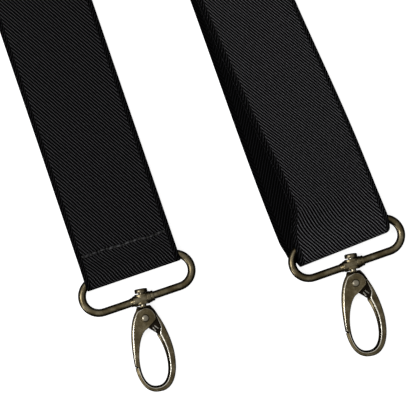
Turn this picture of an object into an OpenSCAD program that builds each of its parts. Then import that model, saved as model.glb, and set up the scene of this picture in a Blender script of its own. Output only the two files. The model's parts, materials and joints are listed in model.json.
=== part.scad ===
// X-back suspenders laid flat: elastic straps, leather cross patch, slide adjusters, four swivel hooks.
// Origin at the bottom centre, +Z up off the table, +Y towards the shoulder folds, +X to the right.

/* [Strap] */
// width of the elastic webbing
strap_w = 38; // [25:0.5:50]
// thickness of the elastic webbing
strap_t = 1.8; // [1:0.1:2.5]
// distance between the two shoulder folds, centre to centre
shoulder_gap = 54; // [40:0.2:90]
// angle of the back straps from the centre line
back_lean = 18.9; // [10:0.1:30]
// angle of the front straps from the centre line
front_lean = 21.69; // [12:0.1:32]
// length of a back strap, shoulder fold to ring bar
back_len = 495.2; // [350:0.1:700]
// length of a front strap, shoulder fold to the end of its loop
front_len = 496.85; // [350:0.1:700]
// middle radius of the soft fold at the shoulder
fold_r = 4.5; // [3:0.5:12]

/* [Sewn back end] */
// length of the turned-back end under the strap, from the ring bar
stub_len = 19; // [12:0.5:40]
// distance of the stitch row from the ring bar
stitch_from_bar = 7.75; // [6:0.25:15]
// number of stitches in the row
stitch_n = 10; // [5:1:16]
// length of one stitch
stitch_l = 3.3; // [2:0.1:5]

/* [Front loop] */
// outer radius of the loose loop at the front ring
loop_r = 5.4; // [4:0.1:8]
// distance from the end of the loop back to the ring bar
loop_slack = 6.65; // [5:0.05:10]
// how far the ring sits to the side inside its loop
ring_shift = 0.9; // [0:0.1:3]
// turn of the front ring against its strap
ring_skew = 2.5; // [0:0.5:6]
// twist of the front ply beside the ring
ply_twist = 25; // [0:1:35]
// twist of the front ply further up
ply_twist_up = 20; // [0:1:30]
// sideways wander of the back ply
ply_wander = 3.7; // [0:0.1:8]

/* [Adjuster] */
// distance from the end of the loop to the adjuster bar
adj_up = 190; // [140:1:300]
// spacing of the adjuster's outer bars from its middle bar
adj_pitch = 12; // [9:0.5:18]
// radius of the adjuster's middle bar
adj_bar_r = 1.3; // [1:0.1:2]
// thickness of the adjuster's side rails
adj_rail = 2.4; // [1.5:0.1:4]
// turned-back length of the ply sewn to the middle bar
tab_len = 20; // [12:1:40]

/* [Cross patch] */
// length of the leather patch along the centre line
patch_h = 78; // [50:1:120]
// width of the leather patch
patch_w = 62; // [40:1:90]
// thickness of each of the two leather layers
patch_t = 1.8; // [0.8:0.1:2.5]

/* [Ring] */
// radius of the ring's wire
wire_r = 1.55; // [1:0.05:2.5]
// half of the ring's straight part
ring_half = 15.5; // [10:0.5:25]
// middle radius of the ring's round ends
ring_end_r = 6.45; // [4:0.05:10]
// running clearance of wire and pins
fit = 0.07; // [0.02:0.01:0.1]
// radius of the boss the hook swivels in
boss_r = 2.9; // [2:0.05:4]
// height of that boss
boss_h = 4.1; // [3:0.1:6]

/* [Swivel hook] */
// lean of the hook against the ring
hook_cant = 9.2; // [0:0.1:15]
// radius of the swivel pin
pin_r = 1.2; // [0.8:0.1:2]
// length of the hook below its neck
hook_l = 33; // [25:0.1:45]
// half width of the hook
hook_hw = 8; // [6:0.05:12]
// thickness of the hook frame
hook_t = 3.1; // [2:0.1:5]
// thickness of the thin tongue inside the lever
tongue_t = 1.4; // [0.8:0.1:2]
// distance of the lever's rivet below the neck
rivet_v = 4.3; // [3:0.1:7]
// radius of the lever's rivet
rivet_r = 1; // [0.6:0.1:1.5]
// length of the lever down to its tip
lever_v = 22.6; // [18:0.1:28]
// radius of the round top of the lever
lever_r = 4.3; // [3.5:0.1:6]
// slope of each hook towards the table
hook_dip = 1.5; // [0:0.1:5]

/* [Hidden] */
$fn = 48;
half_w = strap_w / 2;
half_t = strap_t / 2;
bore_r = wire_r + fit;
sewn_r = bore_r + strap_t;
bar_z = sewn_r + 0.02;
front_bar_z = strap_t + wire_r + 0.3;
flare_r = ring_end_r - sqrt(pow(ring_end_r - wire_r, 2) - pow(half_w - ring_half, 2)) + fit;
ring_h = 2 * ring_end_r;
neck_gap = 1.05;
hub_to_neck = boss_h / 2 + neck_gap;
fold_x = shoulder_gap / 2;
hook_reach = ring_h * cos(back_lean) + (hub_to_neck + hook_l) * cos(back_lean - hook_cant);
back_drop = back_len * cos(back_lean);
top_y = (back_drop + hook_reach - fold_r - half_t) / 2;
back_bar = [-fold_x + back_len * sin(back_lean), top_y - back_drop];
fold_tilt = (front_lean - back_lean) / 2;
fold_alpha = 90 - (front_lean + back_lean) / 2;
fold_z = half_t + fold_r;
fold_run = PI * fold_r / tan(fold_alpha);
lead = 0.6;
top_ply_z = fold_z + fold_r;
over_z = 2 * strap_t + patch_t - half_t;
under_z = strap_t + patch_t - half_t;
flat_before = 9;
cross_s = fold_x / sin(back_lean);
patch_y = top_y - fold_x / tan(back_lean);
pinch_z = 3 * half_t + 0.05;
loop_top_z = 2 * loop_r - half_t;
adj_bar_z = adj_bar_r + fit + strap_t + 0.02;
adj_over_z = adj_bar_z + adj_bar_r + fit + strap_t + half_t + 0.05;
adj_side_z = 2 * strap_t + half_t + 0.1;
adj_outer_z = adj_side_z + half_t + 0.1 + adj_bar_r;
rail_x = half_w + 1.2 + adj_rail / 2;
cheek_t = (hook_t - tongue_t) / 2 - 0.05;
eye_v = 21.5;
collar_l = 9.5;
collar_r = 1.85;
cap_gap = 0.3;
cap_r = 2.6;
body_u = 0.85;
body_v = 19.4;
bow_n = 2.35;
eye_u = 0.3;
ply_drift = [1, 2.4, 1.4];
notch_w = 0.35;
head_r = 1.55;
head_h = 0.55;
stage_n = 24;

// smooth step from 0 at a to 1 at b
function ease(x, a, b) = let (t = min(1, max(0, (x - a) / (b - a)))) t * t * (3 - 2 * t);
// point of a level polyline ribbon, pushed out along its own normal by d
function run_dir(p, i) = let (a = p[max(0, i - 1)], b = p[min(len(p) - 1, i + 1)]) (b - a) / norm(b - a);
function pushed(p, i, d) = let (v = run_dir(p, i)) p[i] + d * [-v[1], v[0]];
function band(p) = concat(
  [for (i = [0 : len(p) - 1]) pushed(p, i, half_t)],
  [for (i = [len(p) - 1 : -1 : 0]) pushed(p, i, -half_t)]);

// solid band across the strap from a side view drawn in (distance, height)
module across(w = strap_w) {
  rotate([90, 0, 90]) linear_extrude(w, center = true) children();
}

// solid ribbon through centres c with side directions d, as wide and thick as the webbing
module twisted_ribbon(c, d) {
  n = len(c);
  t = [for (i = [0 : n - 1]) let (v = c[min(n - 1, i + 1)] - c[max(0, i - 1)]) v / norm(v)];
  up = [for (i = [0 : n - 1]) let (v = cross(d[i], t[i])) v / norm(v)];
  pts = [for (i = [0 : n - 1]) for (k = [[-1, -1], [1, -1], [1, 1], [-1, 1]])
    c[i] + d[i] * k[0] * half_w + up[i] * k[1] * half_t];
  faces = concat(
    [[0, 1, 2], [0, 2, 3]],
    [for (i = [0 : n - 2]) for (k = [0 : 3]) let (a = 4 * i + k, b = 4 * i + (k + 1) % 4)
      each [[a, a + 4, b], [b, a + 4, b + 4]]],
    [let (e = 4 * (n - 1)) [e + 2, e + 1, e], let (e = 4 * (n - 1)) [e + 3, e + 2, e]]);
  polyhedron(pts, faces, convexity = 8);
}

// ---- back straps -------------------------------------------------------------------------
// height of a back strap's middle at distance s from its shoulder fold
function back_height(s, cross_z) =
  s < cross_s ? top_ply_z + (cross_z - top_ply_z)
    * ease(s, flat_before + lead, cross_z > over_z - 0.1 ? cross_s - 40 : cross_s - 56)
  : s < back_len - 70 ? cross_z + (half_t - cross_z)
    * ease(s, cross_s + (cross_z > over_z - 0.1 ? 58 : 42), cross_s + 115)
  : s < back_len - stitch_from_bar ? half_t + (pinch_z - half_t)
    * ease(s, back_len - 60, back_len - 26)
  : pinch_z + (bar_z + bore_r + half_t - pinch_z)
    * ease(s, back_len - stitch_from_bar, back_len + 0.6);

module back_strap(cross_z) {
  top = concat([[flat_before, top_ply_z], [flat_before + lead, top_ply_z]],
    [for (s = [flat_before + 2 : 3 : back_len - 30]) [s, back_height(s, cross_z)]]);
  end = [for (k = [1 : stage_n]) let (s = back_len - 29 + 29.4 * k / stage_n) [s, back_height(s, cross_z)]];
  stub = [for (s = [back_len - stub_len, back_len - 10, back_len + 0.4]) [s, half_t]];
  difference() {
    across() difference() {
      union() {
        polygon(band(concat(top, end)));
        polygon(band(stub));
        intersection() {
          translate([back_len, bar_z]) circle(sewn_r);
          translate([back_len, 0]) square([2 * sewn_r, 2 * bar_z + 1]);
        }
      }
      translate([back_len, bar_z]) circle(bore_r);
    }
    for (m = [-1, 1]) translate([m * (half_w + 0.01), back_len, bar_z]) rotate([0, -m * 90, 0])
      cylinder(h = half_w - ring_half, r1 = flare_r, r2 = bore_r);
  }
}

// row of short stitches over the sewn end
module end_stitching() {
  y = back_len - stitch_from_bar - 0.6;
  pitch = (strap_w - 3.4) / stitch_n;
  for (k = [0 : stitch_n - 1]) translate([(k + 0.5 - stitch_n / 2) * pitch, y, pinch_z + half_t + 0.42])
    rotate([0, 90, 0]) union() {
      cylinder(h = stitch_l - 0.8, r = 0.4, center = true, $fn = 16);
      for (m = [-1, 1]) translate([0, 0, m * (stitch_l / 2 - 0.4)]) sphere(r = 0.4, $fn = 16);
    }
}

// lays a straight run drawn along +Y onto the strap that starts at a shoulder fold
module along_back() {
  translate([-fold_x, top_y, 0]) rotate([0, 0, back_lean - 180]) children();
}
module along_front() {
  translate([fold_x + fold_run * cos(fold_tilt), top_y + fold_run * sin(fold_tilt), 0])
    rotate([0, 0, front_lean - 180]) children();
}

// soft fold over the shoulder, wrapped on a level cylinder and set off at an angle
function wrap(a, b, r) =
  b < 0 ? [a, b, fold_z + r]
  : b < PI * fold_r ? let (q = b / fold_r * 180 / PI) [a, r * sin(q), fold_z + r * cos(q)]
  : [a, PI * fold_r - b, fold_z - r];
module shoulder_fold() {
  nw = 8;
  ns = 30;
  s0 = -flat_before;
  s1 = (PI * fold_r) / sin(fold_alpha) + flat_before;
  grid = [for (r = [fold_r + half_t, fold_r - half_t]) for (i = [0 : ns]) for (j = [0 : nw])
    let (s = s0 + (s1 - s0) * i / ns, w = half_w - strap_w * j / nw)
    wrap(s * cos(fold_alpha) + w * sin(fold_alpha), s * sin(fold_alpha) - w * cos(fold_alpha), r)];
  m = (ns + 1) * (nw + 1);
  row = nw + 1;
  faces = concat(
    [for (i = [0 : ns - 1]) for (j = [0 : nw - 1]) let (a = i * row + j, b = a + row)
      each [[a, a + 1, b], [a + 1, b + 1, b], [m + a, m + b, m + a + 1], [m + a + 1, m + b, m + b + 1]]],
    [for (i = [0 : ns - 1]) let (a = i * row, b = a + row)
      each [[a, b, m + a], [b, m + b, m + a],
            [a + nw, m + a + nw, b + nw], [b + nw, m + a + nw, m + b + nw]]],
    [for (j = [0 : nw - 1]) let (a = j, b = ns * row + j)
      each [[a, m + a, a + 1], [a + 1, m + a, m + a + 1], [b, b + 1, m + b], [b + 1, m + b + 1, m + b]]]);
  translate([-fold_x, top_y, 0]) rotate([0, 0, -fold_tilt]) mirror([1, 0, 0]) polyhedron(grid, faces, convexity = 6);
}

// ---- cross patch -------------------------------------------------------------------------
module patch_outline() {
  r = 6;
  px = patch_w / 2 - r;
  py = patch_h / 2 - r;
  ix = px * 0.72;
  iy = py * 0.72;
  hull() for (p = [[px, 0], [-px, 0], [0, py], [0, -py], [ix, iy * 0.55], [-ix, iy * 0.55],
      [ix, -iy * 0.55], [-ix, -iy * 0.55]])
    translate(p) circle(r);
}
module patch_layer(z) {
  translate([0, patch_y, z]) linear_extrude(patch_t) patch_outline();
}
module patch_stitching() {
  a = patch_w / 2 - 6;
  b = patch_h / 2 - 7;
  z = patch_t + 2 * strap_t + patch_t + 0.32;
  n = 44;
  for (k = [0 : n - 1]) let (q = 360 * k / n)
    translate([a * cos(q), patch_y + b * sin(q), z]) rotate([0, 0, atan2(b * cos(q), -a * sin(q))])
      rotate([0, 90, 0]) cylinder(h = 2.4, r = 0.3, center = true, $fn = 16);
}

// ---- front plies -------------------------------------------------------------------------
adj_q = front_len - adj_up;
// twist, height and sideways place of the two plies at distance p above the end of the loop
function twist_at(p) = ply_twist * ease(p, loop_r, 22) - (ply_twist - ply_twist_up) * ease(p, 30, 62)
  - ply_twist_up * ease(p, 112, 160);
function near_z(p) = let (q = twist_at(p), lift = strap_t + half_t + 0.25 + half_w * sin(q))
  p > 150 ? lift + (adj_side_z - strap_t - half_t - 0.25) * ease(p, 150, 168)
  : lift + (loop_top_z - strap_t - half_t - 0.25) * (1 - ease(p, loop_r, 22));
function near_x(p) = half_w * (1 - cos(twist_at(p))) + ply_drift[0] * ease(p, loop_r, 24)
  - ply_drift[1] * ease(p, 34, 115) + ply_drift[2] * ease(p, 115, 168);
function far_x(p) = -ply_wander * (ease(p, loop_r, 12) - ease(p, 16, 150));

module near_ply() {
  low = concat([loop_r], [for (p = [loop_r + lead : 3 : 60]) p]);
  high = [for (p = [64 : 6 : adj_up - adj_pitch - 6]) p];
  p = concat(low, high);
  arch = [for (k = concat([-1, -0.92], [for (j = [-0.75 : 0.25 : 1]) j])) [adj_up - k * adj_pitch,
    adj_side_z + (adj_over_z - adj_side_z) * ease(1 - abs(k), 0.1, 0.9)]];
  c = concat([for (a = arch) [0, front_len - a[0], a[1]]],
    [for (i = [len(p) - 1 : -1 : 0]) [-near_x(p[i]), front_len - p[i], near_z(p[i])]]);
  d = concat([for (a = arch) [1, 0, 0]],
    [for (i = [len(p) - 1 : -1 : 0]) let (q = twist_at(p[i])) [cos(q), 0, sin(q)]]);
  twisted_ribbon(c, d);
}
module far_ply() {
  p = concat([for (p = [loop_r : 3 : 60]) p], [for (p = [66 : 8 : adj_up - tab_len - 2]) p], [adj_up - tab_len]);
  c = [for (i = [len(p) - 1 : -1 : 0]) [-far_x(p[i]), front_len - p[i], half_t]];
  twisted_ribbon(c, [for (i = c) [1, 0, 0]]);
}
module front_loop() {
  across() translate([front_len - loop_r, loop_r]) intersection() {
    difference() {
      circle(loop_r);
      circle(loop_r - strap_t);
    }
    translate([0, -loop_r - 1]) square([loop_r + 1, 2 * loop_r + 2]);
  }
}
module front_strap() {
  q0 = flat_before;
  far = [for (q = [q0, adj_q - 45]) [q, half_t]];
  rise = [for (q = [adj_q - 40 : 3 : adj_q - adj_pitch]) [q, half_t + (adj_side_z - half_t) * ease(q, adj_q - 42, adj_q - adj_pitch - 2)]];
  across() polygon(band(concat(far, rise, [[adj_q - adj_pitch, adj_side_z]])));
}

// ---- adjuster ----------------------------------------------------------------------------
module adjuster_frame() {
  for (m = [-1, 1]) {
    translate([0, adj_q + m * adj_pitch, adj_outer_z]) rotate([0, 90, 0])
      cylinder(h = 2 * rail_x, r = adj_bar_r, center = true);
    translate([m * rail_x, 0, 0]) across(adj_rail) polygon([
      [adj_q - adj_pitch - 2, adj_outer_z - 1.2], [adj_q - 3, adj_bar_z - 1.7], [adj_q + 3, adj_bar_z - 1.7],
      [adj_q + adj_pitch + 2, adj_outer_z - 1.2], [adj_q + adj_pitch + 2, adj_outer_z + 1.5],
      [adj_q + 3, adj_bar_z + 2], [adj_q - 3, adj_bar_z + 2], [adj_q - adj_pitch - 2, adj_outer_z + 1.5]]);
  }
  translate([0, adj_q, adj_bar_z]) rotate([0, 90, 0]) cylinder(h = 2 * rail_x, r = adj_bar_r, center = true);
}
module adjuster_tab() {
  r = adj_bar_r + fit;
  ro = r + strap_t;
  low = [for (k = [-0.02, 0.5, 1]) [adj_q + k * tab_len, half_t]];
  high = [for (k = [-0.02, each [0.05 : 0.1 : 0.95]]) [adj_q + k * (tab_len - 1), adj_bar_z + r + half_t
    - (adj_bar_z + r + half_t - pinch_z) * ease(k, 0, 0.55)]];
  across() difference() {
    union() {
      polygon(band(low));
      polygon(band(high));
      intersection() {
        translate([adj_q, adj_bar_z]) circle(ro);
        translate([adj_q - 2 * ro, 0]) square([2 * ro, 2 * adj_bar_z + 1]);
      }
    }
    translate([adj_q, adj_bar_z]) circle(r);
  }
}

// ---- ring, drawn with its hinge bar on the X axis and the hook towards +Y --------------------
module ring() {
  difference() {
    union() {
      for (y = [0, ring_h]) translate([0, y, 0]) rotate([0, 90, 0])
        cylinder(h = 2 * ring_half, r = wire_r, center = true);
      for (m = [-1, 1]) translate([m * ring_half, ring_end_r, 0]) rotate([0, 0, m > 0 ? -90 : 90])
        rotate_extrude(angle = 180) translate([ring_end_r, 0]) circle(wire_r);
      translate([0, ring_h, 0]) rotate([0, 90, 0]) cylinder(h = collar_l, r = collar_r, center = true);
      at_hub() rotate([90, 0, 0]) cylinder(h = boss_h, r = boss_r, center = true);
    }
    at_hub() rotate([90, 0, 0]) cylinder(h = 4 * boss_h, r = pin_r + fit, center = true);
  }
}
module at_hub() {
  translate([0, ring_h, 0]) rotate([0, 0, -hook_cant]) mirror([1, 0, 0]) children();
}
// hook frame of reference: origin at the neck, +Y down the hook
module at_neck() {
  at_hub() translate([0, hub_to_neck, 0]) children();
}
module swivel_pin() {
  at_neck() {
    translate([0, -0.05, 0]) rotate([90, 0, 0]) cylinder(h = hub_to_neck + boss_h / 2 + cap_gap + 0.4, r = pin_r);
    translate([0, -hub_to_neck - boss_h / 2 - cap_gap, 0]) rotate([90, 0, 0]) {
      cylinder(h = 0.9, r = cap_r);
      translate([0, 0, 0.9]) cylinder(h = 0.9, r1 = cap_r, r2 = cap_r / 2);
    }
  }
}

// ---- hook outline from superellipses -----------------------------------------------------
function egg(cu, cv, a, bu, bd, nu, nd) = [for (k = [0 : 59]) let (q = 6 * k,
    s = sin(q), c = cos(q), n = s < 0 ? nu : nd, b = s < 0 ? bu : bd)
  [cu + a * sign(c) * pow(abs(c), 2 / n), cv + b * sign(s) * pow(abs(s), 2 / n)]];
module outer_egg(shoulder_n = 1.6) {
  polygon(egg(body_u, body_v, hook_hw, body_v + 0.8, hook_l - body_v, shoulder_n, bow_n));
}
module inner_egg() {
  polygon(egg(eye_u, eye_v, 5.3, 13, 9.1, 1.75, 2.3));
}
module eye_ring() {
  difference() {
    outer_egg();
    inner_egg();
  }
}
// everything on the lever's side of the notch, g shifts the cut
module lever_side(g) {
  polygon([[-20, -5], [1, -5], [1, 9], [-2, 12], [-2, lever_v + 1.3 + g], [-20, lever_v - 4.4 + g]]);
}
// hollow beside the lever where the spring lies on the tongue
module pocket() {
  polygon([[0.9, 7.6], [0.6, 9.6], [3.2, 10.9], [4.7, 7.9], [4.2, 5.2], [3, 6]]);
}
module hook_frame() {
  at_neck() {
    linear_extrude(hook_t, center = true) difference() {
      eye_ring();
      lever_side(notch_w);
      translate([0, rivet_v]) circle(lever_r + 0.15);
      translate([-hook_hw, -hook_hw]) square([2 * hook_hw, hook_hw + 0.5]);
      pocket();
    }
    difference() {
      linear_extrude(tongue_t, center = true) difference() {
        union() {
          translate([0, rivet_v]) circle(3.2);
          translate([-1.9, -0.2]) square([3.8, rivet_v]);
          intersection() {
            eye_ring();
            polygon([[0.8, 3], [6.8, 3], [6.8, 11], [3, 11], [1, 6.3]]);
          }
        }
        translate([0, rivet_v]) circle(rivet_r + 0.01);
      }
      rotate([90, 0, 0]) cylinder(h = 2.4, r = pin_r + 0.03, center = true);
    }
    difference() {
      translate([0, -0.1, 0]) rotate([90, 0, 0]) cylinder(h = 0.35, r = 2.6);
      rotate([90, 0, 0]) cylinder(h = 4, r = pin_r + 0.03, center = true);
    }
  }
}
module lever_outline() {
  union() {
    translate([0, rivet_v]) circle(lever_r);
    difference() {
      intersection() {
        outer_egg(bow_n);
        lever_side(0);
        translate([-20, 0.6]) square([20, 40]);
      }
      inner_egg();
    }
  }
}
module lever() {
  at_neck() difference() {
    union() {
      for (m = [-1, 1]) translate([0, 0, m * (tongue_t / 2 + 0.05 + cheek_t / 2)])
        linear_extrude(cheek_t, center = true) lever_outline();
      linear_extrude(tongue_t + 0.4, center = true) difference() {
        intersection() {
          lever_outline();
          translate([-20, rivet_v - 2]) square([19.2, 40]);
        }
        translate([0, rivet_v]) circle(3.3);
      }
    }
    translate([0, rivet_v, 0]) cylinder(h = 10, r = rivet_r + fit, center = true);
  }
}
module rivet() {
  at_neck() translate([0, rivet_v, 0]) {
    cylinder(h = hook_t + 0.2, r = rivet_r, center = true);
    for (m = [0, 180]) rotate([m, 0, 0]) translate([0, 0, hook_t / 2 + 0.08])
      cylinder(h = head_h, r1 = head_r, r2 = head_r * 0.55);
  }
}
module spring() {
  at_neck() for (q = [30, 42]) translate([0, rivet_v, tongue_t / 2 + 0.3]) rotate([0, 0, -q])
    translate([0, 5.25, 0]) rotate([90, 0, 0]) {
      cylinder(h = 0.7, r = 0.28, center = true, $fn = 16);
      for (m = [-0.35, 0.35]) translate([0, 0, m]) sphere(r = 0.28, $fn = 16);
    }
}

// ---- placing of the two kinds of hook assembly ----------------------------------------------
module on_back_bar() {
  translate([back_bar[0], back_bar[1], bar_z]) rotate([0, 0, back_lean - 180]) rotate([-hook_dip, 0, 0]) children();
}
module on_front_bar() {
  along_front() translate([-ring_shift, front_len - loop_slack, front_bar_z]) rotate([0, 0, -ring_skew])
    rotate([-hook_dip, 0, 0]) children();
}
module mirrored() {
  mirror([1, 0, 0]) children();
}
module cloth() {
  color([0.03, 0.03, 0.035]) children();
}
module bronze() {
  color([0.42, 0.38, 0.28]) children();
}
module dark_bronze() {
  color([0.3, 0.26, 0.18]) children();
}

module back_strap_from_left() { cloth() along_back() back_strap(over_z); }
module back_strap_from_right() { cloth() mirrored() along_back() back_strap(under_z); }
module shoulder_fold_left() { cloth() shoulder_fold(); }
module shoulder_fold_right() { cloth() mirrored() shoulder_fold(); }
module end_stitching_right() { color([0.15, 0.15, 0.16]) along_back() end_stitching(); }
module end_stitching_left() { color([0.15, 0.15, 0.16]) mirrored() along_back() end_stitching(); }
module cross_patch_front() { color([0.1, 0.07, 0.05]) patch_layer(patch_t + 2 * strap_t); }
module cross_patch_back() { color([0.1, 0.07, 0.05]) patch_layer(0); }
module patch_thread() { color([0.15, 0.15, 0.16]) patch_stitching(); }
module front_strap_right() { cloth() along_front() front_strap(); }
module near_ply_right() { cloth() along_front() near_ply(); }
module far_ply_right() { cloth() along_front() far_ply(); }
module front_loop_right() { cloth() along_front() front_loop(); }
module adjuster_frame_right() { bronze() along_front() adjuster_frame(); }
module adjuster_tab_right() { cloth() along_front() adjuster_tab(); }

back_strap_from_left();
back_strap_from_right();
shoulder_fold_left();
shoulder_fold_right();
end_stitching_right();
end_stitching_left();
cross_patch_front();
cross_patch_back();
patch_thread();  // patch_stitching
front_strap_right();
mirrored() front_strap_right();  // front_strap_left
near_ply_right();
mirrored() near_ply_right();  // near_ply_left
far_ply_right();
mirrored() far_ply_right();  // far_ply_left
front_loop_right();
mirrored() front_loop_right();  // front_loop_left
adjuster_frame_right();
mirrored() adjuster_frame_right();  // adjuster_frame_left
adjuster_tab_right();
mirrored() adjuster_tab_right();  // adjuster_tab_left
bronze() on_back_bar() ring();  // back_ring_right
bronze() mirrored() on_back_bar() ring();  // back_ring_left
bronze() on_front_bar() ring();  // front_ring_right
bronze() mirrored() on_front_bar() ring();  // front_ring_left
dark_bronze() on_back_bar() swivel_pin();  // back_swivel_pin_right
dark_bronze() mirrored() on_back_bar() swivel_pin();  // back_swivel_pin_left
dark_bronze() on_front_bar() swivel_pin();  // front_swivel_pin_right
dark_bronze() mirrored() on_front_bar() swivel_pin();  // front_swivel_pin_left
bronze() on_back_bar() hook_frame();  // back_hook_right
bronze() mirrored() on_back_bar() hook_frame();  // back_hook_left
bronze() on_front_bar() hook_frame();  // front_hook_right
bronze() mirrored() on_front_bar() hook_frame();  // front_hook_left
bronze() on_back_bar() lever();  // back_lever_right
bronze() mirrored() on_back_bar() lever();  // back_lever_left
bronze() on_front_bar() lever();  // front_lever_right
bronze() mirrored() on_front_bar() lever();  // front_lever_left
dark_bronze() on_back_bar() rivet();  // back_rivet_right
dark_bronze() mirrored() on_back_bar() rivet();  // back_rivet_left
dark_bronze() on_front_bar() rivet();  // front_rivet_right
dark_bronze() mirrored() on_front_bar() rivet();  // front_rivet_left
dark_bronze() on_back_bar() spring();  // back_spring_right
dark_bronze() mirrored() on_back_bar() spring();  // back_spring_left
dark_bronze() on_front_bar() spring();  // front_spring_right
dark_bronze() mirrored() on_front_bar() spring();  // front_spring_left
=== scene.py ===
"""Looks of the laid-out suspenders: webbing, thread, leather and bronze hardware, in the CAD frame."""
import json
from math import atan2, copysign, cos, degrees, exp, pi, radians, sin, sqrt, tan

import bmesh
import bpy
from mathutils import Matrix, Vector


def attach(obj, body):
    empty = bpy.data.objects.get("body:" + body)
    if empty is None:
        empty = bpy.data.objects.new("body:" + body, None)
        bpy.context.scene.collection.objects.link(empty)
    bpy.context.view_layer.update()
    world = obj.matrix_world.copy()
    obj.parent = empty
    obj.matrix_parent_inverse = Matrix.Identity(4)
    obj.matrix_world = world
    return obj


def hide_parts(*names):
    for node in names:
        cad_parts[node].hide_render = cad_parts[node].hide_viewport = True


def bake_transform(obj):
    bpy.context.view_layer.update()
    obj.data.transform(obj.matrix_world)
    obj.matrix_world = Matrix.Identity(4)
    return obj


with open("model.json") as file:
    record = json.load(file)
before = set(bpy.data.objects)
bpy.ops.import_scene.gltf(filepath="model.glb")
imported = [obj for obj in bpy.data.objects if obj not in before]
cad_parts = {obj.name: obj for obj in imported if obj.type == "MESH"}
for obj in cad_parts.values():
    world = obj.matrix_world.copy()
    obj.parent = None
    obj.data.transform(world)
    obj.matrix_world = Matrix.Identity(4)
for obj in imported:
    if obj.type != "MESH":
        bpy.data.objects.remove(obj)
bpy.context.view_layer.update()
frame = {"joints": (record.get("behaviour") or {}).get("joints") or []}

# ---- sizes, in millimetres, as in the CAD 
MM = 0.001
STRAP_W = 38.0
STRAP_T = 1.8
BACK_LEN = 495.2
FRONT_LEN = 496.85
FOLD_R = 4.5
FLAT_BEFORE = 9.0
LEAD = 0.6
STUB_LEN = 19.0
STITCH_FROM_BAR = 7.75
LOOP_R = 5.4
LOOP_SLACK = 6.65
RING_SHIFT = 0.9
PLY_TWIST = 25.0
PLY_TWIST_UP = 20.0
PLY_WANDER = 3.7
PLY_DRIFT = (1.0, 2.4, 1.4)
ADJ_UP = 190.0
ADJ_PITCH = 12.0
ADJ_BAR_R = 1.3
TAB_LEN = 20.0
PATCH_H = 78.0
PATCH_W = 62.0
PATCH_T = 1.8
WIRE_R = 1.55
RING_HALF = 15.5
RING_END_R = 6.45
FIT = 0.07
BOSS_R = 2.9
BOSS_H = 4.1
PIN_R = 1.2
HOOK_T = 3.1
TONGUE_T = 1.4
RIVET_V = 4.3
RIVET_R = 1.0
LEVER_R = 4.3
LEVER_V = 22.6
HALF_W = STRAP_W / 2
HALF_T = STRAP_T / 2
BORE_R = WIRE_R + FIT
BAR_Z = BORE_R + STRAP_T + 0.02
PINCH_Z = 3 * HALF_T + 0.05
RING_H = 2 * RING_END_R
ADJ_BAR_Z = ADJ_BAR_R + FIT + STRAP_T + 0.02
ADJ_OVER_Z = ADJ_BAR_Z + ADJ_BAR_R + FIT + STRAP_T + HALF_T + 0.05
ADJ_SIDE_Z = 2 * STRAP_T + HALF_T + 0.1
FOLD_Z = HALF_T + FOLD_R
TOP_PLY_Z = FOLD_Z + FOLD_R
OVER_Z = 2 * STRAP_T + PATCH_T - HALF_T
UNDER_Z = STRAP_T + PATCH_T - HALF_T
LIFT_Z = STRAP_T + HALF_T + 0.25
ADJ_Q = FRONT_LEN - ADJ_UP

# ---- where things are, from the frame's jo
JOINTS = {j["name"]: j for j in frame["joints"]}
SIDES = ("right", "left")
UP = Vector((0, 0, 1))


def joint_point(name):
    return Vector(JOINTS[name]["pos_m"])


def joint_axis(name):
    return Vector(JOINTS[name]["axis"])


class Place:
    """A local frame in millimetres: origin, three axes, and a mirror in X for the left half."""

    def __init__(self, origin, x, y, z, side="right"):
        self.o, self.x, self.y, self.z, self.side = origin, x, y, z, side

    def __call__(self, x, y, z=0.0):
        p = self.o + (self.x * x + self.y * y + self.z * z) * MM
        return Vector((-p.x, p.y, p.z)) if self.side == "left" else p


def strap_place(bar, along, side, length, shift=0.0):
    """Frame of a straight strap: +y runs from its shoulder fold to its ring, +z up."""
    across = along.cross(UP)
    origin = Vector((bar.x, bar.y, 0)) - along * length * MM + across * shift * MM
    return Place(origin, across, along, UP, side)


bar_back = joint_point("back_right_ring_pivot")
back_x = joint_axis("back_right_ring_pivot")
back_along = UP.cross(back_x).normalized()
bar_front = joint_point("front_right_ring_pivot")
front_along = -joint_axis("right_adjuster_slide")


def back_place(side):
    return strap_place(bar_back, back_along, side, BACK_LEN)


def front_place(side):
    return strap_place(bar_front, front_along, side, FRONT_LEN - LOOP_SLACK, RING_SHIFT)


def hardware_places(kind, side):
    """Frames of a ring and of its hook: x to the right, y down from the bar or from the neck, z up."""
    bar, hub = joint_point(kind + "_right_ring_pivot"), joint_point(kind + "_right_swivel")
    rivet = joint_point(kind + "_right_lever_pivot")
    z = joint_axis(kind + "_right_lever_pivot")
    y = (hub - bar).normalized()
    v = joint_axis(kind + "_right_swivel")
    neck = rivet - v * RIVET_V * MM
    return (Place(bar, z.cross(y), y, z, side), Place(hub, z.cross(v), v, z, side),
            Place(neck, z.cross(v), v, z, side))


scene = bpy.context.scene

# ---- mesh helpers ------------------------
def ease(x, a, b):
    t = min(1.0, max(0.0, (x - a) / (b - a)))
    return t * t * (3 - 2 * t)


def spread(a, b, n):
    """n + 1 values from a to b."""
    return [a + (b - a) * i / n for i in range(n + 1)]


def circle(n):
    """n angles round a full turn."""
    return spread(0, 2 * pi, n)[:-1]


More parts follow.
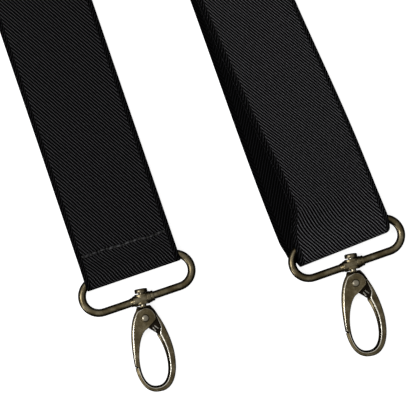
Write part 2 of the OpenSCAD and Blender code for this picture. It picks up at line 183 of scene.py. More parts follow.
class Mesh:
    """Collects the shells of one piece and turns them into an object."""

    def __init__(self):
        self.bm = bmesh.new()
        self.uv = self.bm.loops.layers.uv.new("cloth")

    def skin(self, rows, uvs=None, closed_ends=False):
        """Quads between rows, each a closed loop of points. The ends are capped, or joined when closed_ends
        is set. uvs(i, k) gives the map coordinates of point k of row i."""
        grid = [[self.bm.verts.new(p) for p in row] for row in rows]
        n = len(grid[0])
        for i in range(len(grid) - (0 if closed_ends else 1)):
            j = (i + 1) % len(grid)
            for k in range(n):
                m = (k + 1) % n
                face = self.bm.faces.new((grid[i][k], grid[i][m], grid[j][m], grid[j][k]))
                if uvs:
                    for loop, (a, b) in zip(face.loops, ((i, k), (i, m), (j, m), (j, k))):
                        loop[self.uv].uv = uvs(a, b)
        if not closed_ends:
            for end, order in ((0, range(n - 1, -1, -1)), (len(grid) - 1, range(n))):
                face = self.bm.faces.new([grid[end][k] for k in order])
                if uvs:
                    for loop, k in zip(face.loops, order):
                        loop[self.uv].uv = uvs(end, k)

    def build(self, name, material, smooth=40.0):
        bmesh.ops.recalc_face_normals(self.bm, faces=self.bm.faces)
        mesh = bpy.data.meshes.new(name)
        self.bm.to_mesh(mesh)
        self.bm.free()
        mesh.materials.append(material)
        mesh.shade_smooth()
        mesh.set_sharp_from_angle(angle=radians(smooth))
        obj = bpy.data.objects.new(name, mesh)
        scene.collection.objects.link(obj)
        return obj


def finish_piece(obj, body, slot, *nodes):
    """Fixes a piece to its body and hides the CAD nodes that it stands for. The slot argument is not used."""
    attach(obj, body)
    if nodes:
        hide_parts(*nodes)


# ---- materials ---------------------------
class Nodes:
    """Short way to wire a node tree."""

    def __init__(self, name):
        self.mat = bpy.data.materials.new(name)
        self.mat.use_nodes = True
        self.tree = self.mat.node_tree
        self.shader = self.tree.nodes["Principled BSDF"]

    def add(self, kind, **settings):
        node = self.tree.nodes.new("ShaderNode" + kind)
        for key, value in settings.items():
            setattr(node, key, value)
        return node

    def link(self, a, b):
        self.tree.links.new(a, b)

    def shade(self, name, value):
        """Gives an input of the shader a constant or a node's output."""
        if isinstance(value, (int, float, tuple)):
            self.shader.inputs[name].default_value = value
        else:
            self.link(value, self.shader.inputs[name])

    def math(self, operation, a, b=None, c=None):
        node = self.add("Math", operation=operation)
        for i, value in enumerate((a, b, c)):
            if value is None:
                continue
            if isinstance(value, (int, float)):
                node.inputs[i].default_value = value
            else:
                self.link(value, node.inputs[i])
        return node.outputs[0]

    def plus(self, a, b):
        return self.math("ADD", a, b)

    def minus(self, a, b):
        return self.math("SUBTRACT", a, b)

    def times(self, a, b):
        return self.math("MULTIPLY", a, b)

    def hills(self, line, pitch):
        """Triangle wave between 0 and 1 along a line."""
        phase = self.math("FRACT", self.math("DIVIDE", line, pitch))
        return self.minus(1.0, self.math("ABSOLUTE", self.minus(self.times(phase, 2.0), 1.0)))

    def split(self, vector):
        node = self.add("SeparateXYZ")
        self.link(vector, node.inputs[0])
        return node.outputs["X"], node.outputs["Y"]

    def noise(self, vector, scale, detail=3.0, rough=0.55):
        node = self.add("TexNoise")
        node.inputs["Scale"].default_value = scale
        node.inputs["Detail"].default_value = detail
        node.inputs["Roughness"].default_value = rough
        self.link(vector, node.inputs["Vector"])
        return node.outputs["Fac"]

    def ramp(self, fac, stops):
        node = self.add("ValToRGB")
        elements = node.color_ramp.elements
        while len(elements) < len(stops):
            elements.new(0.5)
        for element, (place, colour) in zip(elements, stops):
            element.position = place
            element.color = (*colour, 1)
        self.link(fac, node.inputs[0])
        return node.outputs["Color"]

    def bump(self, height, distance, strength=1.0, after=None):
        node = self.add("Bump")
        node.inputs["Distance"].default_value = distance
        node.inputs["Strength"].default_value = strength
        self.link(height, node.inputs["Height"])
        if after is not None:
            self.link(after, node.inputs["Normal"])
        return node.outputs["Normal"]


REVERSE = 100.0  # offset of the map coordinate that marks the webbing's reverse side
SELVEDGE_X = 16.9
RIM_X = 18.62
RIB_PITCH = 1.02
RIB_ACROSS, RIB_ALONG = -0.857, 0.515
RIB_WANDER = 0.35
PICK_PITCH = 0.62
PICK_ACROSS, PICK_ALONG = 0.60, 0.80


def webbing_material(name, tone_and_painted_light_gain):
    """Black twill elastic: fine grey diagonal ribs, reversed in the selvedges, with a plain black rim. The
    reverse side is painted darker, as shade for the far ply that lies under the near ply."""
    t = Nodes(name)
    uv = t.add("UVMap", uv_map="cloth").outputs["UV"]
    u, along = t.split(uv)
    reverse = t.math("GREATER_THAN", u, REVERSE / 2)
    across = t.minus(u, t.times(reverse, REVERSE))
    edge = t.math("ABSOLUTE", across)
    selvedge = t.math("GREATER_THAN", edge, SELVEDGE_X)
    rim = t.math("GREATER_THAN", edge, RIM_X)
    turn = t.minus(1.0, t.times(selvedge, 2.0))
    slant = t.times(t.times(across, RIB_ACROSS), turn)
    wander = t.times(t.noise(uv, 0.35), RIB_WANDER)
    hill = t.hills(t.plus(t.plus(slant, t.times(along, RIB_ALONG)), wander), RIB_PITCH)
    rib = t.math("SMOOTH_MIN", t.times(t.math("MAXIMUM", t.minus(hill, 0.42), 0.0), 2.3), 1.0, 0.15)
    # short picks along each rib, so that it reads as thread
    pick = t.hills(t.plus(t.times(across, PICK_ACROSS), t.times(along, PICK_ALONG)), PICK_PITCH)
    fleck = t.noise(uv, 1.9, 4.0, 0.7)
    light = t.times(rib, t.plus(0.35, t.times(t.times(pick, fleck), 1.5)))
    # the reverse side's darkening is painted shade for the far ply; the rim and selvedges are the weave's own
    # darker edges
    for mask, share in ((rim, 0.85), (selvedge, 0.5), (reverse, 0.75)):
        light = t.times(light, t.minus(1.0, t.times(mask, share)))
    # colour of the weave, scaled by the gain; for the front straps the larger gain is painted light
    colour = t.ramp(light, [(0.0, (0.0003, 0.0003, 0.0004)),
                            (0.45, (0.013 * tone_and_painted_light_gain, 0.013 * tone_and_painted_light_gain, 0.0142 * tone_and_painted_light_gain)),
                            (1.0, (0.1 * tone_and_painted_light_gain, 0.1 * tone_and_painted_light_gain, 0.107 * tone_and_painted_light_gain))])
    t.shade("Base Color", colour)
    t.shade("Roughness", 0.85)
    t.shade("Specular IOR Level", 0.03)
    height = t.plus(t.times(rib, 0.7), t.times(t.times(rib, pick), 0.3))
    t.shade("Normal", t.bump(height, 0.00018, 0.8))
    return t.mat


def thread_material(name, dark, light):
    """Dark sewing thread: its colour runs from near black to grey in random patches, the grey a painted
    highlight, with a fine twist.
    """
    t = Nodes(name)
    place = t.add("TexCoord").outputs["Object"]
    grain = t.noise(place, 2600.0, 3.0)
    patch = t.noise(place, 420.0, 2.0)
    tone = t.plus(t.times(grain, 0.5), t.times(patch, 0.5))
    # the lighter grey stop is painted highlight on the thread
    colour = t.ramp(tone, [(0.38, dark), (0.66, light)])
    t.shade("Base Color", colour)
    t.shade("Roughness", 0.45)
    t.shade("Normal", t.bump(grain, 0.00008))
    return t.mat


CREST_WEAR_AND_HIGHLIGHT = (0.92, 0.88, 0.76)  # colour painted on marked ridges: worn metal with a painted highlight


def bronze_material(name, dark, mid, bright, rough):
    """Antique bronze plating: dark in the hollows, bright on the ridges from wear with a painted highlight,
    with fine polishing marks.
    """
    t = Nodes(name)
    place = t.add("TexCoord").outputs["Object"]
    cloud = t.noise(place, 260.0, 5.0, 0.6)
    speck = t.noise(place, 1700.0, 3.0, 0.6)
    # pointiness: ridges lighter, as wear with a painted highlight, and hollows darker
    curvature = t.add("NewGeometry").outputs["Pointiness"]
    rubbed_and_highlit = t.times(t.minus(curvature, 0.5), 2.0)
    mix = t.plus(t.plus(t.times(cloud, 0.7), t.times(speck, 0.2)), rubbed_and_highlit)
    plain = t.ramp(mix, [(0.2, dark), (0.46, mid), (0.8, bright)])
    # ridges marked in the map take the crest colour: painted highlight with wear
    ridge, _ = t.split(t.add("UVMap", uv_map="cloth").outputs["UV"])
    crest = t.add("Mix", data_type="RGBA")
    crest.inputs["B"].default_value = (*CREST_WEAR_AND_HIGHLIGHT, 1)
    t.link(plain, crest.inputs["A"])
    t.link(t.times(ridge, t.plus(0.65, t.times(cloud, 0.6))), crest.inputs["Factor"])
    t.shade("Base Color", crest.outputs["Result"])
    t.shade("Metallic", 1.0)
    scratch = t.add("Mapping")
    scratch.inputs["Scale"].default_value = (900.0, 5200.0, 2600.0)
    t.link(place, scratch.inputs["Vector"])
    marks = t.noise(scratch.outputs["Vector"], 1.0, 2.0)
    t.shade("Roughness", t.plus(rough, t.times(t.minus(marks, 0.5), 0.22)))
    fine = t.bump(marks, 0.000004, 0.5)
    t.shade("Normal", t.bump(cloud, 0.00003, 0.4, fine))
    return t.mat


def leather_material():
    """Smooth dark leather with a fine pebble grain."""
    t = Nodes("patch_leather")
    place = t.add("TexCoord").outputs["Object"]
    cells = t.add("TexVoronoi", feature="DISTANCE_TO_EDGE")
    cells.inputs["Scale"].default_value = 1150.0
    t.link(place, cells.inputs["Vector"])
    cloud = t.noise(place, 90.0, 4.0)
    grain = t.math("MINIMUM", t.times(cells.outputs["Distance"], 5.0), 1.0)
    tone = t.plus(t.times(cloud, 0.6), t.times(grain, 0.35))
    colour = t.ramp(tone, [(0.25, (0.009, 0.006, 0.005)), (0.8, (0.05, 0.032, 0.022))])
    t.shade("Base Color", colour)
    t.shade("Roughness", t.plus(0.36, t.times(cloud, 0.22)))
    t.shade("Normal", t.bump(grain, 0.00012, 0.7))
    return t.mat


def spring_material():
    """Plain drawn spring wire."""
    t = Nodes("spring_steel")
    place = t.add("TexCoord").outputs["Object"]
    draw = t.noise(place, 1500.0, 2.0)
    colour = t.ramp(draw, [(0.2, (0.22, 0.21, 0.18)), (0.8, (0.55, 0.53, 0.47))])
    t.shade("Base Color", colour)
    t.shade("Metallic", 1.0)
    t.shade("Roughness", t.plus(0.22, t.times(draw, 0.2)))
    return t.mat


def floor_material():
    """Matt white paper that glows a little, so that it stays white all over."""
    t = Nodes("floor")
    t.shade("Base Color", (0.93, 0.93, 0.93, 1))
    t.shade("Roughness", 0.9)
    t.shade("Specular IOR Level", 0.0)
    t.shade("Emission Color", (1, 1, 1, 1))
    t.shade("Emission Strength", 0.8)
    return t.mat


# the last number scales the weave's brightness; the front straps' larger value is painted light for the
# stronger light on them
WEBBING = webbing_material("webbing", 1.1)
FRONT_WEBBING_PAINTED_LIGHTER = webbing_material("webbing_front_painted_lighter", 2.3)
# thread: near black, with grey painted highlight
THREAD = thread_material("thread", (0.004, 0.004, 0.0045), (0.075, 0.075, 0.08))
# near-black copy of the thread for the discs in the needle holes: painted shade
HOLE_SHADE_PAINT = thread_material("thread_in_shadow", (0.0003, 0.0003, 0.0004), (0.0014, 0.0014, 0.0016))
BRONZE = bronze_material("antique_bronze", (0.04, 0.031, 0.015), (0.13, 0.103, 0.055),
                         (0.42, 0.37, 0.25), 0.29)
DARK_BRONZE = bronze_material("dark_bronze", (0.035, 0.027, 0.014), (0.13, 0.105, 0.06),
                              (0.46, 0.41, 0.3), 0.3)
# near-black bronze for the recessed tongue and tenon: painted shade of the recess
RECESS_SHADE_BRONZE = bronze_material("bronze_painted_recess_shade", (0.004, 0.003, 0.002), (0.012, 0.009, 0.006),
                            (0.05, 0.04, 0.028), 0.5)
LEATHER = leather_material()
SPRING = spring_material()

# ---- webbing -----------------------------
EDGE_R = 0.55


def cloth_u(profile, k, sign):
    """Map coordinate across the webbing; the reverse side is marked by a large offset."""
    w, d = profile[k]
    return sign * w + (REVERSE if d < 0 else 0.0)


def web_profile(top_n, bunched=False):
    """Closed section of the webbing as (w, d): a flat top and underside with softly rounded selvedges. When
    bunched, its points lie closer together towards the selvedges."""
    inner = HALF_W - EDGE_R
    flat = HALF_T - EDGE_R
    across = [sin(pi / 2 * t) if bunched else t for t in spread(-1, 1, top_n)]
    points = [(inner * t, HALF_T) for t in across]
    for side in (1, -1):
        first = 90 if side > 0 else 270
        for k in range(1, 8):
            q = radians(first - 180 * k / 8)
            d = flat * (1 if k < 4 else 0 if k == 4 else -1) * side
            points.append((side * inner + EDGE_R * cos(q), d + EDGE_R * sin(q)))
        if side > 0:
            points += [(-inner * t, -HALF_T) for t in across[::2 if bunched else 4]]
    return points


class Station:
    """One cross-section of a strap: middle point, side direction, upward normal, distance along the strap."""

    def __init__(self, c, side, up, s):
        self.c, self.side, self.up, self.s = c, side, up, s


def stations(centres, sides=None):
    """Stations through points, with normals from the run of the points."""
    out, s = [], 0.0
    for i, c in enumerate(centres):
        run = (centres[min(len(centres) - 1, i + 1)] - centres[max(0, i - 1)]).normalized()
        side = sides[i] if sides else Vector((1, 0, 0))
        s += (c - centres[i - 1]).length if i else 0.0
        out.append(Station(c, side, side.cross(run).normalized(), s))
    return out


def web(mesh, place, rows, profile, start=0.0, draw_back=None):
    """Adds a strap through stations. The weave's distance along the strap counts from start."""
    sign = 1.0 if place.side == "left" else -1.0
    grid = []
    for row in rows:
        ring = []
        for w, d in profile:
            back = draw_back(row, w) if draw_back else 0.0
            p = row.c + row.side * w + row.up * d
            ring.append(place(p.x, p.y - back, p.z))
        grid.append(ring)
    mesh.skin(grid, lambda i, k: (cloth_u(profile, k, sign), start + rows[i].s))


LEVEL_AT_CROSSING = {True: (40, 58), False: (56, 42)}  # before and after it, for the upper and lower strap
DOWN_AFTER_CROSSING = 115
RISE_TO_STUB = (60, 26)  # where the strap rises on its own turned-in end, from the ring's bar


def back_height(s, over):
    """Middle height of a back strap at s from the shoulder: down to the crossing and the floor, then up on
    its own turned-in end and to the top of the ring's bar."""
    cross_z = OVER_Z if over else UNDER_Z
    before, after = LEVEL_AT_CROSSING[over]
    if s < CROSS_S:
        return TOP_PLY_Z + (cross_z - TOP_PLY_Z) * ease(s, FLAT_BEFORE + LEAD, CROSS_S - before)
    if s < BACK_LEN - RISE_TO_STUB[0]:
        return cross_z + (HALF_T - cross_z) * ease(s, CROSS_S + after, CROSS_S + DOWN_AFTER_CROSSING)
    if s < BACK_LEN - STITCH_FROM_BAR:
        return HALF_T + (PINCH_Z - HALF_T) * ease(s, BACK_LEN - RISE_TO_STUB[0], BACK_LEN - RISE_TO_STUB[1])
    top = BAR_Z + BORE_R + HALF_T
    return PINCH_Z + (top - PINCH_Z) * ease(s, BACK_LEN - STITCH_FROM_BAR, BACK_LEN + 0.6)


STITCH_Y = BACK_LEN - STITCH_FROM_BAR - 0.6
STITCH_N = 10
STITCH_PITCH = (STRAP_W - 5.4) / STITCH_N
STITCH_L = 2.4


def stitch_row(x):
    """Distance of the row from the shoulder at x: it leans a little against the strap's end, and wavers."""
    t = x / STRAP_W + 0.5
    return STITCH_Y - 0.55 - 1.25 * t + 0.2 * sin(0.52 * x + 0.6) + 0.25 * ease(t, 0.86, 0.95)


def stitch_dent(row, w):
    """The cloth sinks along the stitch row, most at the needle holes."""
    off = row.c.y - stitch_row(w)
    if abs(off) > 6 or row.c.z < PINCH_Z - 0.5:
        return 0.0
    row_end = STITCH_N * STITCH_PITCH / 2
    inside = 1 - ease(abs(w), row_end - 0.4, row_end + 0.9)
    nearest = (w / STITCH_PITCH + STITCH_N / 2) % 1.0
    hole = exp(-(min(nearest, 1 - nearest) * STITCH_PITCH / 0.6) ** 2 - (off / 0.75) ** 2)
    puff = 0.12 * sin(w * 1.25 + 0.4) * exp(-(off / 2.4) ** 2)
    return inside * (0.34 * exp(-(off / 1.1) ** 2) + 0.75 * hole + puff * 0.5)


def fold_rows(profile):
    """Rows of local points round the shoulder, wrapped at an angle on a level cylinder, front to back."""
    alpha = radians(FOLD_ALPHA)
    wrap_s = pi * FOLD_R / sin(alpha)
    rows, places = [], []
    for s in spread(wrap_s + FLAT_BEFORE, -FLAT_BEFORE, 72):
        row = []
        for w, d in profile:
            a = s * cos(alpha) + w * sin(alpha)
            b = s * sin(alpha) - w * cos(alpha)
            r = FOLD_R + d
            if b < 0:
                row.append(Vector((a, b, FOLD_Z + r)))
            elif b < pi * FOLD_R:
                q = b / FOLD_R
                row.append(Vector((a, r * sin(q), FOLD_Z + r * cos(q))))
            else:
                row.append(Vector((a, pi * FOLD_R - b, FOLD_Z - r)))
        rows.append(row)
        places.append(-s)
    return rows, places


def lean_of(direction):
    return degrees(atan2(direction.x, -direction.y))


BACK_LEAN = lean_of(back_along)
FRONT_LEAN = lean_of(front_along)
FOLD_ALPHA = 90 - (FRONT_LEAN + BACK_LEAN) / 2
FOLD_TILT = radians((FRONT_LEAN - BACK_LEAN) / 2)
SHOULDER_X = -back_place("right").o.x / MM
CROSS_S = SHOULDER_X / sin(radians(BACK_LEAN))


def back_web(side, over):
    """A back strap from its turned-in sewn end, round the ring bar, up to the shoulder and round the fold."""
    place = back_place(side)
    profile = web_profile(96)
    centres = [Vector((0, y, HALF_T)) for y in spread(BACK_LEN - STUB_LEN, BACK_LEN, 12)]
    r = BORE_R + HALF_T
    centres = centres[:-1]
    centres += [Vector((0, BACK_LEN + r * cos(q), BAR_Z + r * sin(q)))
                for q in spread(-pi / 2, pi / 2, 20)]
    # finer rows at the stitches
    heights = spread(BACK_LEN - 0.5, BACK_LEN - 18, 44) + spread(BACK_LEN - 20, FLAT_BEFORE, 150)
    centres += [Vector((0, y, back_height(y, over))) for y in heights]
    run = stations(centres, [Vector((-1, 0, 0))] * len(centres))
    sign = -1.0 if side == "left" else 1.0
    whole = run[-1].s + FLAT_BEFORE
    grid, uvs = [], []
    for row in run:
        ring = []
        for w, d in profile:
            sink = stitch_dent(row, -w) if d > 0 else 0.0
            ring.append(place(*(row.c + row.side * w + row.up * (d - sink))))
        grid.append(ring)
        uvs.append(whole - row.s)
    rows, places = fold_rows([(-w, d) for w, d in profile])
    spin = Matrix.Rotation(-FOLD_TILT, 3, "Z")
    ground = Place(place.o, spin @ Vector((1, 0, 0)), spin @ Vector((0, 1, 0)), UP, side)
    for row, s in zip(reversed(rows), reversed(places)):
        grid.append([ground(-p.x, p.y, p.z) for p in row])
        uvs.append(s)
    del grid[len(run) - 1], uvs[len(run) - 1]
    mesh = Mesh()
    mesh.skin(grid, lambda i, k: (cloth_u(profile, k, sign), uvs[i]))
    return mesh


for end_side, shoulder_side, over in (("right", "left", True), ("left", "right", False)):
    piece = back_web(end_side, over).build("back_webbing_from_" + shoulder_side, WEBBING)
    finish_piece(piece, "straps", "webbing",
                 "back_strap_from_" + shoulder_side, "shoulder_fold_" + shoulder_side)


# ---- front webbing -----------------------
# all distances p count up from the end of the loop
TURN_END = 22
NEAR_FLAT = 168
LIFT_FROM = 150
END_DRIFT = 0.6


def twist_at(p):
    """Tilt of the near ply about its own run: most just above the loop, none at the adjuster."""
    return radians(PLY_TWIST * ease(p, LOOP_R, TURN_END) - (PLY_TWIST - PLY_TWIST_UP) * ease(p, 30, 62)
                        - PLY_TWIST_UP * ease(p, 112, 160))


def near_centre(p):
    """Middle of the near ply and its side direction."""
    q = twist_at(p)
    lift = LIFT_Z + HALF_W * sin(q)
    if p > LIFT_FROM:
        z = lift + (ADJ_SIDE_Z - LIFT_Z) * ease(p, LIFT_FROM, NEAR_FLAT)
    else:
        z = lift + (2 * LOOP_R - HALF_T - LIFT_Z) * (1 - ease(p, LOOP_R, TURN_END))
    x = (HALF_W * (1 - cos(q)) + END_DRIFT + (PLY_DRIFT[0] - END_DRIFT) * ease(p, LOOP_R, 24)
         - PLY_DRIFT[1] * ease(p, 34, 115) + PLY_DRIFT[2] * ease(p, 115, NEAR_FLAT))
    return Vector((-x, FRONT_LEN - p, z)), Vector((cos(q), 0, sin(q)))


TURN_WANDER = 0.75
CORNER_R = 2.2


def far_x(p):
    """Sideways place of the far ply."""
    return PLY_WANDER * (TURN_WANDER + (1 - TURN_WANDER) * ease(p, LOOP_R, 12) - ease(p, 16, 150))


def turn_x(a):
    """Sideways lean of the cloth as it turns under at the loop's end; a falls from 90 to -90 degrees."""
    share = a / (pi / 2)
    return PLY_WANDER * TURN_WANDER * max(0.0, -share) ** 3 - END_DRIFT * max(0.0, share)


def round_corner(row, w):
    """How far the cloth's end is drawn back at its rounded corner."""
    near_end = 1 - ease(FRONT_LEN - row.c.y, LOOP_R * 0.6, LOOP_R * 1.6)
    over = min(CORNER_R, max(0.0, -w - (HALF_W - CORNER_R)))
    return near_end * (CORNER_R - sqrt(CORNER_R ** 2 - over ** 2))


def front_upper(side):
    """Front strap from the shoulder fold to the first bar of the adjuster."""
    place = front_place(side)
    profile = web_profile(28)
    end = ADJ_Q - ADJ_PITCH
    centres = [Vector((0, y, HALF_T + (ADJ_SIDE_Z - HALF_T) * ease(y, ADJ_Q - 42, end - 2)))
               for y in spread(FLAT_BEFORE, end, 140)]
    mesh = Mesh()
    web(mesh, place, stations(centres), profile)
    return mesh


def front_lower(side):
    """The adjusting loop: over the adjuster, down to the ring, round the loose loop, back up, and sewn to the
    middle bar."""
    place = front_place(side)
    profile = web_profile(44, bunched=True)
    flat_side = Vector((1, 0, 0))
    centres, sides = [], []

    def add(c, side_dir=flat_side):
        centres.append(c)
        sides.append(side_dir)

    for k in spread(-1, 1, 32):
        z = ADJ_SIDE_Z + (ADJ_OVER_Z - ADJ_SIDE_Z) * ease(1 - abs(k), 0.1, 0.9)
        add(Vector((0, ADJ_Q + k * ADJ_PITCH, z)))
    for p in spread(ADJ_UP - ADJ_PITCH - 2, 62, 58) + spread(60, LOOP_R, 72):
        add(*near_centre(p))
    near_end = len(centres) - 1
    r = LOOP_R - HALF_T
    for q in spread(90, -90, 24)[1:]:
        a = radians(q)
        add(Vector((turn_x(a), FRONT_LEN - LOOP_R + r * cos(a), LOOP_R + r * sin(a))))
    for p in spread(LOOP_R, 60, 50)[1:] + spread(60, ADJ_UP - 0.5, 60)[1:]:
        add(Vector((far_x(p), FRONT_LEN - p, HALF_T)))
    r = ADJ_BAR_R + FIT + HALF_T
    for q in spread(-90, -270, 24):
        a = radians(q)
        add(Vector((0, ADJ_Q + r * cos(a), ADJ_BAR_Z + r * sin(a))))
    for k in spread(0.04, 0.97, 24):
        top = ADJ_BAR_Z + r
        add(Vector((0, ADJ_Q + k * (TAB_LEN - 1), top - (top - PINCH_Z) * ease(k, 0, 0.55))))
    mesh = Mesh()
    rows = stations(centres, sides)
    # the near ply's weave is counted straight along the strap
    shift = rows[near_end].c.y - rows[0].c.y - rows[near_end].s
    for i, row in enumerate(rows):
        row.s = row.c.y - rows[0].c.y if i < near_end else row.s + shift
    web(mesh, place, rows, profile, ADJ_Q - ADJ_PITCH, round_corner)
    return mesh


for side in SIDES:
    place = front_place(side)
    adjuster, loop = "adjuster_" + side, "front_loop_" + side
    upper = front_upper(side).build("front_webbing_upper_" + side, FRONT_WEBBING_PAINTED_LIGHTER)
    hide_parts("front_strap_" + side)
    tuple(place(0, FLAT_BEFORE + 8))
    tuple(place(0, ADJ_Q - 46))
    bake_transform(upper)
    lower = front_lower(side).build("front_webbing_lower_" + side, FRONT_WEBBING_PAINTED_LIGHTER)
    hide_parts("near_ply_" + side, "far_ply_" + side, loop, "adjuster_tab_" + side)
    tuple(place(0, ADJ_Q + TAB_LEN + 8))
    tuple(place(0, FRONT_LEN - 34))
    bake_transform(lower)

# ---- stitches ----------------------------
def stitch(mesh, place, a, b, crown, radius, sink):
    """One thread stitch from a to b: a soft arch that dives into the cloth at both ends."""
    a, b = Vector(a), Vector(b)
    run = (b - a).normalized()
    side = run.cross(UP).normalized()
    rows = []
    for t in spread(0, 1, 14):
        arch = sin(pi * t) ** 0.55
        c = a.lerp(b, t) + UP * (crown * arch - sink * (1 - arch))
        r = radius * (0.55 + 0.45 * arch) * (1 + 0.07 * sin(t * 40))
        rows.append([place(*(c + side * (r * cos(q)) + UP * (r * sin(q)))) for q in circle(10)])
    mesh.skin(rows)


def end_stitching(side):
    """The row of stitches across the turned-in end of a back strap."""
    place = back_place(side)
    mesh = Mesh()
    for k in range(STITCH_N):
        x = (k + 0.5 - STITCH_N / 2) * STITCH_PITCH
        y = stitch_row(x)
        z = PINCH_Z + HALF_T + 0.06
        tilt = 0.28 * sin(2.3 * k)
        stitch(mesh, place, (x - STITCH_L / 2, y - tilt, z), (x + STITCH_L / 2, y + tilt, z), 0.1, 0.5, 0.8)
    return mesh


def painted_hole_shade(side):
    """Painted shade in the needle holes between the stitches: near-black shallow domes in the sunk cloth."""
    place = back_place(side)
    mesh = Mesh()
    for k in range(STITCH_N + 1):
        x = (k - STITCH_N / 2) * STITCH_PITCH
        y = stitch_row(x) + 0.12 * sin(1.7 * k)
        rows = []
        for share, z in ((0.05, 0.1), (0.6, 0.06), (1.0, -0.12)):
            level = PINCH_Z + HALF_T - 0.3 + z
            rows.append([place(x + 0.72 * share * cos(q), y + 0.62 * share * sin(q), level)
                         for q in circle(16)])
        mesh.skin(rows)
    return mesh


for side in SIDES:
    piece = end_stitching(side).build("end_stitching_row_" + side, THREAD, 60)
    finish_piece(piece, "straps", "thread", "end_stitching_" + side)
    piece = painted_hole_shade(side).build("painted_hole_shade_" + side, HOLE_SHADE_PAINT, 60)
    finish_piece(piece, "straps", "thread")

# ---- leather cross patch -----------------
PATCH_Y = back_place("right").o.y / MM - SHOULDER_X / tan(radians(BACK_LEAN))


def patch_radius(q):
    """Outline of the patch: a soft rhombus, as a distance from its middle in the direction q."""
    n = 1.45
    c, s = abs(cos(q)) / (PATCH_W / 2), abs(sin(q)) / (PATCH_H / 2)
    return (c ** n + s ** n) ** (-1 / n)


def strap_cover(x, y):
    """Height of the straps that lie under the front leather at a point beside the crossing."""
    lean = radians(BACK_LEAN)
    best = 0.0
    for sign, plies in ((1, 2.0), (-1, 1.0)):
        off = abs(x * cos(lean) + sign * y * sin(lean))
        best = max(best, plies * (1 - ease(off, HALF_W - 1.0, HALF_W + 5.0)))
    return best * STRAP_T


def patch_shell(mesh, z_of, thick):
    """A sheet of leather with rounded edges: rings from the middle out, over the edge and back underneath."""
    rings = [(t, 1) for t in spread(0.04, 0.965, 26)]
    rings += [(0.985, 0.93), (0.997, 0.6), (1.0, 0.0), (0.997, -0.6), (0.985, -0.93)]
    rings += [(t, -1) for t in spread(0.965, 0.04, 12)]
    count = 120
    rows = []
    for t, level in rings:
        row = []
        for k in range(count):
            q = 2 * pi * k / count
            r = patch_radius(q) * t
            x, y = r * cos(q), r * sin(q)
            row.append(Vector((x, y + PATCH_Y, z_of(x, y, t) + thick / 2 * level)) * MM)
        rows.append(row)
    mesh.skin(rows)


SEAM_AT = 0.9  # place of the patch's seam, as a share of the way to the rim


def front_leather_z(x, y, t):
    """Middle height of the front leather: it lies over the straps, with a groove along the seam."""
    groove = 0.22 * exp(-((t - SEAM_AT) / 0.018) ** 2)
    return PATCH_T * 1.5 + strap_cover(x, y) - groove


mesh = Mesh()
patch_shell(mesh, front_leather_z, PATCH_T)
piece = mesh.build("cross_patch_leather", LEATHER)
finish_piece(piece, "straps", "patch_leather", "cross_patch_front")
mesh = Mesh()
patch_shell(mesh, lambda x, y, t: PATCH_T / 2 + 0.02, PATCH_T - 0.04)
piece = mesh.build("cross_patch_backing", LEATHER)
finish_piece(piece, "straps", "patch_leather", "cross_patch_back")

mesh = Mesh()
flat_place = Place(Vector((0, 0, 0)), Vector((1, 0, 0)), Vector((0, 1, 0)), UP)
STITCHES_ROUND = 64
for k in range(STITCHES_ROUND):
    ends = []
    for q in ((k + 0.12) / STITCHES_ROUND * 2 * pi, (k + 0.88) / STITCHES_ROUND * 2 * pi):
        r = patch_radius(q) * SEAM_AT
        x, y = r * cos(q), r * sin(q)
        ends.append((x, y + PATCH_Y, PATCH_T * 2 + strap_cover(x, y) - 0.2))
    stitch(mesh, flat_place, ends[0], ends[1], 0.2, 0.32, 0.25)
piece = mesh.build("patch_stitch_row", THREAD, 60)
finish_piece(piece, "straps", "thread", "patch_stitching")


# ---- ring and hub ------------------------
def tube(mesh, place, path, radius, sides=20, closed=False):
    """Round bar along points of one plane, z = 0 of its frame."""
    n = len(path)
    rows = []
    for i, c in enumerate(path):
        a = path[(i - 1) % n] if closed or i else path[0]
        b = path[(i + 1) % n] if closed or i < n - 1 else path[-1]
        run = (b - a).normalized()
        out = Vector((run.y, -run.x, 0))
        rows.append([place(*(c + out * (radius * cos(q)) + Vector((0, 0, radius * sin(q)))))
                     for q in circle(sides)])
    mesh.skin(rows, closed_ends=closed)


def lathe(mesh, place, axis, outline, count=40, flat=1.0):
    """Turned shape: outline is (distance along the axis, radius), round the frame's x or y axis."""
    rows = []
    for along, radius in outline:
        row = []
        for q in circle(count):
            a, b = radius * cos(q), radius * sin(q) * flat
            row.append(place(along, a, b) if axis == "x" else place(a, along, b))
        rows.append(row)
    mesh.skin(rows)


def rounded(a, b, r, soft):
    """Outline of a turned drum from a to b with softened rims."""
    left = [(a + soft * (1 - sin(q)), r - soft * (1 - cos(q))) for q in spread(pi / 2, 0, 5)]
    right = [(b - soft * (1 - sin(q)), r - soft * (1 - cos(q))) for q in spread(0, pi / 2, 5)]
    return [(a, 0.01)] + left + right + [(b, 0.01)]


